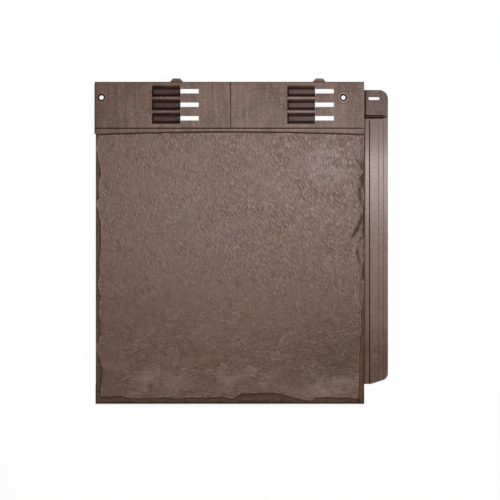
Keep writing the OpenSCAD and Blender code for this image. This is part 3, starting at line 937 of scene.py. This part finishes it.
@dataclass
class RoofTile:
    """The moulded tile with its riven face, cut from the frame's solid."""

    node: str = "roof_tile"
    slot: str = "tile_plastic"
    cover_w: float = 300.1 * MM
    face_l: float = 300.5 * MM
    face_z: float = 12.5 * MM
    crown_rise: float = 1.0 * MM
    bar_w: float = 6.9 * MM
    bar_arch: float = 3.0 * MM
    bar_foot_z: float = 9.0 * MM
    foot_groove_w: float = 2.0 * MM
    groove_z: float = 13.9 * MM
    head_z: float = 14.5 * MM
    tab_reach: float = 3.0 * MM
    mark_x: float = 151.2 * MM
    mark_w: float = 0.9 * MM
    mark_depth: float = 1.5 * MM
    windows: int = 2
    pocket_left: float = 64.0 * MM
    pocket_w: float = 31.2 * MM
    slot_l: float = 20.6 * MM
    pocket_pitch: float = 150.0 * MM
    pocket_drop: float = 47.6 * MM
    lands: int = 2
    land_drop: float = 18.6 * MM
    land_pitch: float = 15.0 * MM
    land_w: float = 2.4 * MM
    land_rise: float = 0.25 * MM
    land_inset: float = 1.0 * MM
    land_margin: float = 2.0 * MM
    slide_z: float = 5.5 * MM
    nail_left: float = 7.9 * MM
    nail_pitch: float = 268.4 * MM
    nail_drop: float = 18.1 * MM
    seat_r: float = 4.1 * MM
    flange_w: float = 26.3 * MM
    flange_z: float = 3.0 * MM
    flange_top: float = 8.0 * MM
    stop_drop: float = 39.0 * MM
    stop_reach: float = 2.2 * MM
    root_w: float = 2.1 * MM
    drain_reach: float = 8.0 * MM
    foot_z: float = 0.5 * MM
    crown_up: float = 0.998
    slate_up: float = 0.985
    under_lean: float = -0.1
    step_lean: float = 0.05
    step_z: float = 10.7 * MM
    cell: float = 1.2 * MM
    swell: float = 0.30 * MM
    swells: Ripple = Ripple(70 * MM, 90 * MM, 3.1)
    ripple: float = 0.20 * MM
    ripples: Ripple = Ripple(7 * MM, 11 * MM, 5.3)
    tail_swell: float = 0.80 * MM
    tail_swells: Ripple = Ripple(32 * MM, 20 * MM, 7.7, 4.0)
    tail_reach: float = 110.0 * MM
    top_fade: float = 10.0 * MM
    chip_hollow: float = 1.0 * MM
    chip_facet: float = 0.9 * MM
    chip_facets: Ripple = Ripple(11 * MM, 11 * MM, 9.1)
    chip_rough: float = 0.30 * MM
    chip_grain: float = 5.0 * MM
    chip_layers: int = 3
    rim_rough: float = 0.35 * MM
    rim_pushes: Ripple = Ripple(5 * MM, 5 * MM, 1.7)
    rim_inset: float = 1.5 * MM
    smooth_rounds: int = 30
    smooth_factor: float = 0.5
    margin: float = 1.0 * MM
    merge: float = 0.002 * MM
    slack: float = 0.02 * MM
    near: float = 0.1 * MM
    sharp: float = math.radians(38.0)
    seed: int = 1
    mesh: bmesh.types.BMesh = field(init=False, repr=False)

    def __post_init__(self) -> None:
        """Works out the main lines of the tile from the frame."""
        low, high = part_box(self.node)
        self.left = low.x
        self.right = low.x + self.cover_w
        self.tail = low.y
        self.bar = low.y + self.face_l
        self.head = high.y - self.tab_reach
        self.middle = (self.left + self.right) / 2

    def bow(self, x: float) -> float:
        """Gives the share of a bow across the tile, 1 in the middle and 0 at the sides."""
        return 1 - ((x - self.middle) / (self.cover_w / 2)) ** 2

    def top(self, x: float) -> float:
        """Gives where the face ends at the groove under the bar."""
        return self.bar + self.bar_arch * self.bow(x) - self.foot_groove_w

    def edge(self, x: float, y: float) -> float:
        """Gives how far a place is inside the nearest of the tile's left side, right side and tail."""
        return min(x - self.left, self.right - x, y - self.tail)

    def on_face(self, point: Vector) -> bool:
        """Says whether a point is over the slate face."""
        return point.x < self.right + self.merge and point.y < self.top(point.x) + self.slack

    def on_crown(self, point: Vector) -> bool:
        """Says whether a point is at the height of the plain face."""
        return abs(point.z - self.face_z - self.crown_rise * self.bow(point.x)) < self.near

    def on_foot(self, point: Vector) -> bool:
        """Says whether a point is over the groove along the foot of the bar."""
        return point.y < self.top(point.x) + self.foot_groove_w + self.near

    def in_window(self, x: float) -> float:
        """Gives how far a place across the tile is right of the left end of its window."""
        return (x - self.left - self.pocket_left) % self.pocket_pitch

    def on_land(self, point: Vector) -> bool:
        """Says whether a point is over a strip between two pockets of a window."""
        down = self.head - point.y - self.land_drop + self.land_w / 2
        return self.is_row(down) and 0 < self.in_window(point.x) < self.pocket_w

    def is_row(self, down: float) -> bool:
        """Says whether a way down from the first strip's top lies in the rows of the strips."""
        return 0 < down < self.land_pitch + self.land_w and down % self.land_pitch < self.land_w

    def build(self) -> bpy.types.Object:
        """Makes the tile's mesh, the same each run.

        Returns:
            The tile, which rides on the frame's body.
        """
        noise.seed_set(self.seed)
        self.mesh = bmesh.new()
        self.mesh.from_mesh(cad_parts[self.node].data)
        bmesh.ops.remove_doubles(self.mesh, verts=self.mesh.verts, dist=self.merge)
        self.crown_lands()
        self.join_face()
        self.cut_cells()
        self.mark_zones()
        self.raise_relief()
        bmesh.ops.triangulate(self.mesh, faces=[f for f in self.mesh.faces if len(f.verts) > 4])
        data = bpy.data.meshes.new("tile")
        self.mesh.to_mesh(data)
        self.mesh.free()
        for name in ("custom_normal", "sharp_face", "sharp_edge"):
            if name in data.attributes:
                data.attributes.remove(data.attributes[name])
        data.shade_smooth()
        data.set_sharp_from_angle(angle=self.sharp)
        tile = bpy.data.objects.new("tile", data)
        bpy.context.scene.collection.objects.link(tile)
        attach(tile, "root")
        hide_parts(self.node)
        return tile

    def is_crown(self, face: Face) -> bool:
        """Says whether a face of the solid lies on the crown of the slate."""
        middle = face.calc_center_median()
        return face.normal.z > self.crown_up and self.on_face(middle) and self.on_crown(middle)

    def is_riven(self, face: Face) -> bool:
        """Says whether a face is on the upper side of the slate.

        Args:
            face: A face of the tile, before the relief is raised.

        Returns:
            Whether it is part of the crown, the broken edges or their steps.
        """
        centre = face.calc_center_median_weighted()
        if not self.on_face(centre) or centre.z < self.foot_z:
            return False
        step = abs(face.normal.z) < self.step_lean and max(v.co.z for v in face.verts) > self.step_z
        return face.normal.z > self.step_lean or step

    def crown_lands(self) -> None:
        """Rounds the strips between the pockets, which catch the light."""
        for window in range(self.windows):
            start = self.left + self.pocket_left + window * self.pocket_pitch
            end = start + self.pocket_w
            inner = start + self.land_inset / 2, end - self.land_inset / 2
            for x in (start, start + self.land_inset, end - self.land_inset, end):
                self.slice_head(Vector((x, 0, 0)), Vector((1, 0, 0)), start, end)
            for row in range(self.lands):
                y = self.head - self.land_drop - row * self.land_pitch
                self.slice_head(Vector((0, y, 0)), Vector((0, 1, 0)), start, end)
                for vertex in self.mesh.verts:
                    on_line = abs(vertex.co.y - y) < self.merge and inner[0] < vertex.co.x < inner[1]
                    if on_line and vertex.co.z > self.head_z - self.near:
                        vertex.co.z += self.land_rise

    def slice_head(self, place: Vector, normal: Vector, start: float, end: float) -> None:
        """Cuts the flat top of the head along a plane, near one window.

        Args:
            place: A point of the plane.
            normal: The plane's direction.
            start: Left end of the window's pockets.
            end: Right end of the window's pockets.
        """
        level = self.land_rise + self.near
        faces = []
        for f in self.mesh.faces:
            xs = [v.co.x for v in f.verts]
            flat = f.normal.z > FACING and all(abs(v.co.z - self.head_z) < level for v in f.verts)
            if flat and min(xs) < end + self.land_margin and max(xs) > start - self.land_margin:
                faces.append(f)
        self.slice(faces, place, normal)
        self.mesh.normal_update()

    def slice(self, faces: Sequence[Face], place: Vector, normal: Vector) -> list[Face]:
        """Cuts faces along a plane, in an order that is the same each run.

        Args:
            faces: The faces to cut.
            place: A point of the plane.
            normal: The plane's direction.

        Returns:
            The faces after the cut.
        """
        parts = list(dict.fromkeys(part for f in faces for part in (f, *f.edges, *f.verts)))
        cut = bmesh.ops.bisect_plane(self.mesh, geom=parts, dist=self.merge, plane_co=place, plane_no=normal)
        return [part for part in cut["geom"] if isinstance(part, Face)]

    def join_face(self) -> None:
        """Joins the long triangles of the crown into one face, to be cut evenly."""
        crown = [f for f in self.mesh.faces if self.is_crown(f)]
        bmesh.ops.dissolve_faces(self.mesh, faces=crown, use_verts=False)

    def cut_cells(self) -> None:
        """Cuts everything on the upper side of the slate face into small cells."""
        faces = [f for f in self.mesh.faces if self.is_riven(f)]
        for axis, start, end in ((0, self.left, self.right), (1, self.tail, self.bar + self.bar_arch)):
            normal = Vector((1, 0, 0)) if axis == 0 else Vector((0, 1, 0))
            count = round((end - start) / self.cell)
            rest, done = faces, []
            for i in range(1, count):
                place = start + (end - start) * i / count
                near, far = [], []
                for f in rest:
                    along = [v.co[axis] for v in f.verts]
                    group = done if max(along) <= place else near if min(along) < place else far
                    group.append(f)
                rest = far + self.slice(near, normal * place, normal)
            faces = done + rest
        LOG.info("slate face cut into %d cells", len(faces))

    def zone(self, face: Face) -> Zone:
        """Finds the finish of a face.

        Args:
            face: A face of the tile, before the relief is raised.

        Returns:
            The face's zone.
        """
        centre = face.calc_center_median_weighted()
        if self.is_riven(face):
            return Zone.SLATE if face.normal.z > self.slate_up else Zone.BROKEN
        if centre.x > self.right and centre.z < self.flange_top:
            return self.flange_zone(centre, face.normal)
        if centre.y > self.top(centre.x) - self.near and centre.z > self.margin:
            return self.head_zone(centre, face.normal)
        return Zone.BROKEN if face.normal.x > FACING and centre.x > self.right - self.margin else Zone.HEAD

    def flange_zone(self, centre: Vector, normal: Vector) -> Zone:
        """Finds the finish of a face of the flange: plain, or with painted shade in its grooves and on its
        water stop.

        Args:
            centre: The middle of the face.
            normal: The direction that the face looks in.

        Returns:
            The face's zone.
        """
        out = centre.x - self.right
        above = centre.y > self.head - self.stop_drop + self.stop_reach
        if centre.z > self.flange_z + self.near:
            return Zone.GROOVE if normal.z > FACING else Zone.CREASE
        floor = normal.z > FACING and centre.z < self.flange_z - self.near
        wall = abs(normal.x) > FACING and centre.z > self.flange_z / 2 and out < self.flange_w - self.margin
        if (floor or wall) and out < self.root_w:
            return Zone.GROOVE
        if (floor or wall) and not above:
            return Zone.CREASE if out < self.drain_reach else Zone.TAB
        return Zone.TAB if above else Zone.FLANGE

    def head_zone(self, centre: Vector, normal: Vector) -> Zone:
        """Finds the finish of a face of the head: plain, or with painted shade in its pockets, grooves and
        seats.

        Args:
            centre: The middle of the face.
            normal: The direction that the face looks in.

        Returns:
            The face's zone.
        """
        low = centre.z < self.head_z - self.near
        if centre.y < self.bar + self.bar_w + self.near:
            if not (self.bar_foot_z < centre.z < self.groove_z and normal.z > self.under_lean):
                return Zone.HEAD
            return Zone.GROOVE if self.on_foot(centre) else Zone.CREASE
        if self.on_land(centre) and not low:
            return Zone.LAND
        in_row = self.in_window(centre.x) < self.pocket_w + self.slot_l
        if centre.y > self.head - self.pocket_drop and low and in_row:
            if centre.z < self.slide_z - self.near or abs(normal.x) > MID:
                return Zone.CREASE
            return Zone.POCKET if normal.z > FACING else Zone.FLANK
        for place in (self.nail_left, self.nail_left + self.nail_pitch):
            out = math.hypot(centre.x - self.left - place, centre.y - self.head + self.nail_drop)
            if out < self.seat_r and low:
                return Zone.CREASE
        marked = abs(centre.x - self.left - self.mark_x) < self.mark_w
        if marked and low and centre.z > self.head_z - self.mark_depth:
            return Zone.CREASE
        inside = min(centre.x - self.left, self.right - centre.x, self.head - centre.y)
        return Zone.GROOVE if inside < self.margin and abs(normal.z) < MID else Zone.HEAD

    def mark_zones(self) -> None:
        """Gives each face the finish of its zone and marks the rims of the broken edges, which carry a
        painted highlight.
        """
        self.mesh.normal_update()
        rim = self.mesh.verts.layers.float.new("rim")
        for face in self.mesh.faces:
            face.material_index = self.zone(face)
        for edge in self.mesh.edges:
            if {f.material_index for f in edge.link_faces} == {Zone.SLATE, Zone.BROKEN}:
                for vertex in edge.verts:
                    vertex[rim] = 1.0
        self.mark_chips()

    def mark_chips(self) -> None:
        """Paints how far down the broken edges each vertex is, 0 at the rim and 1 at the tile's outside."""
        chip = self.mesh.verts.layers.float.new("chip")
        rim = self.mesh.verts.layers.float["rim"]
        rims = [v for v in self.mesh.verts if v[rim] > MID]
        tree = KDTree(len(rims))
        for i, vertex in enumerate(rims):
            tree.insert((vertex.co.x, vertex.co.y, 0), i)
        tree.balance()
        for vertex in self.mesh.verts:
            if vertex[rim] < MID and any(f.material_index == Zone.BROKEN for f in vertex.link_faces):
                x, y, _ = vertex.co
                inside = tree.find((x, y, 0))[2]
                outside = max(0.0, self.edge(x, y))
                vertex[chip] = inside / max(inside + outside, self.merge)

    def relief(self, x: float, y: float) -> float:
        """Gives the height of the riven slate over its plain face.

        Args:
            x: Place across the tile in metres.
            y: Place along the tile in metres.

        Returns:
            A height in metres.
        """
        broad = noise.fractal(self.swells.at(x, y), *FRACTAL, LAYERS)
        ripple = noise.fractal(self.ripples.at(x, y), *FRACTAL, LAYERS)
        facets = noise.fractal(self.tail_swells.at(x, y), *FRACTAL, LAYERS)
        tail = max(0.0, 1 - (y - self.tail) / self.tail_reach)
        height = self.swell * broad + self.ripple * ripple + self.tail_swell * tail * facets
        return height + sum(swell.rise(x, y) for swell in SWELLS)

    def raise_relief(self) -> None:
        """Moves the slate's vertices to the riven relief and roughens the broken edges."""
        rim = self.mesh.verts.layers.float["rim"]
        crease = self.mesh.verts.layers.float.new("crease")
        broken = []
        for vertex in self.mesh.verts:
            zones = {f.material_index for f in vertex.link_faces}
            if not zones <= {Zone.SLATE, Zone.BROKEN}:
                continue
            x, y, _ = vertex.co
            fade = min(1.0, max(0.0, (self.top(x) - y) / self.top_fade))
            if Zone.SLATE in zones:
                lines = [crack.at(x, y) for crack in CRACKS]
                # Painted shade along the cracks.
                vertex[crease] = max(line for line, _ in lines)
                vertex.co.z += (self.relief(x, y) - sum(depth for _, depth in lines)) * fade
                if vertex[rim] > MID and self.edge(x, y) > self.rim_inset:
                    push = noise.noise_vector(self.rim_pushes.at(x, y))
                    vertex.co.x += push.x * self.rim_rough * fade
                    vertex.co.y += push.y * self.rim_rough * fade
            elif self.edge(x, y) > self.margin:
                broken.append(vertex)
        for _ in range(self.smooth_rounds):
            bmesh.ops.smooth_vert(self.mesh, verts=broken, factor=self.smooth_factor, use_axis_z=True)
        self.roughen(broken)

    def roughen(self, broken: Sequence[bmesh.types.BMVert]) -> None:
        """Hollows the broken edges between their rim and the tile's outside, and roughens them.

        Args:
            broken: The vertices of the broken edges.
        """
        chip = self.mesh.verts.layers.float["chip"]
        for vertex in broken:
            share = vertex[chip]
            facet = noise.noise(self.chip_facets.at(vertex.co.x, vertex.co.y))
            rough = noise.fractal(vertex.co / self.chip_grain, *FRACTAL, self.chip_layers)
            shell = self.chip_facet * facet - self.chip_hollow
            vertex.co.z += 4 * share * (1 - share) * shell + self.chip_rough * rough

    def dress(self, tile: bpy.types.Object) -> None:
        """Puts the finishes on the tile."""
        for zone in Zone:
            tile.data.materials.append(FINISHES[zone].make())


@dataclass(frozen=True)
class Lamp:
    """A long soft lamp that hangs over the tile and shines straight down."""

    name: str
    place: tuple[float, float, float]
    length: float
    width: float
    power: float

    def hang(self) -> None:
        """Hangs the lamp."""
        data = bpy.data.lights.new(self.name, "AREA")
        data.shape = "RECTANGLE"
        data.size = self.length
        data.size_y = self.width
        data.energy = self.power
        lamp = bpy.data.objects.new(self.name, data)
        lamp.location = self.place
        bpy.context.scene.collection.objects.link(lamp)


LAMPS = (
    Lamp("key_lamp", (0.118, 0.100, 0.45), length=0.40, width=0.06, power=1.2),
    Lamp("wide_lamp", (0.08, 0.078, 0.45), length=0.60, width=0.14, power=1.1),
)


@dataclass
class Studio:
    """The floor, the lamps and the camera straight above the tile."""

    image: int = 500
    head_z: float = 14.5 * MM
    head_scale: float = 0.90183
    view_x: float = 9.5 * MM
    view_y: float = -9.30 * MM
    height: float = 2.53
    sensor: float = 36.0
    view_end: float = 20.0
    fill: float = 0.50
    floor_half: float = 6.0
    floor_gap: float = 0.05 * MM

    def build(self) -> None:
        """Sets up the whole studio."""
        self.lay_floor()
        self.light()
        self.set_camera()

    def lay_floor(self) -> None:
        """Lays the floor just under the tile."""
        shape = bmesh.new()
        bmesh.ops.create_grid(shape, x_segments=1, y_segments=1, size=self.floor_half)
        bmesh.ops.translate(shape, verts=shape.verts, vec=(0, 0, -self.floor_gap))
        data = bpy.data.meshes.new("floor")
        shape.to_mesh(data)
        shape.free()
        floor = bpy.data.objects.new("floor", data)
        data.materials.append(PaleFloor().make())
        bpy.context.scene.collection.objects.link(floor)

    def light(self) -> None:
        """Hangs the lamps over the tile, and fills the rest from the world."""
        for lamp in LAMPS:
            lamp.hang()
        world = bpy.data.worlds.new("world")
        world.use_nodes = True
        back = world.node_tree.nodes["Background"]
        back.inputs["Color"].default_value = (1.0, 1.0, 1.0, 1.0)
        back.inputs["Strength"].default_value = self.fill
        bpy.context.scene.world = world

    def set_camera(self) -> None:
        """Sets the camera so that the tile fills the frame as it should."""
        data = bpy.data.cameras.new("camera")
        data.sensor_width = self.sensor
        width = self.image / self.head_scale * MM
        data.lens = self.sensor * (self.height - self.head_z) / width
        data.clip_end = self.view_end
        camera = bpy.data.objects.new("camera", data)
        camera.matrix_world = Matrix.Translation((self.view_x, self.view_y, self.height))
        bpy.context.scene.collection.objects.link(camera)
        bpy.context.scene.camera = camera


def main() -> None:
    """Builds the tile and the studio."""
    logging.basicConfig(level=logging.INFO)
    bpy.context.scene.view_settings.view_transform = "Standard"
    roof_tile = RoofTile()
    tile = roof_tile.build()
    roof_tile.dress(tile)
    LOG.info("%s has %d faces", tile.name, len(tile.data.polygons))
    Studio().build()


if __name__ == "__main__":
    main()
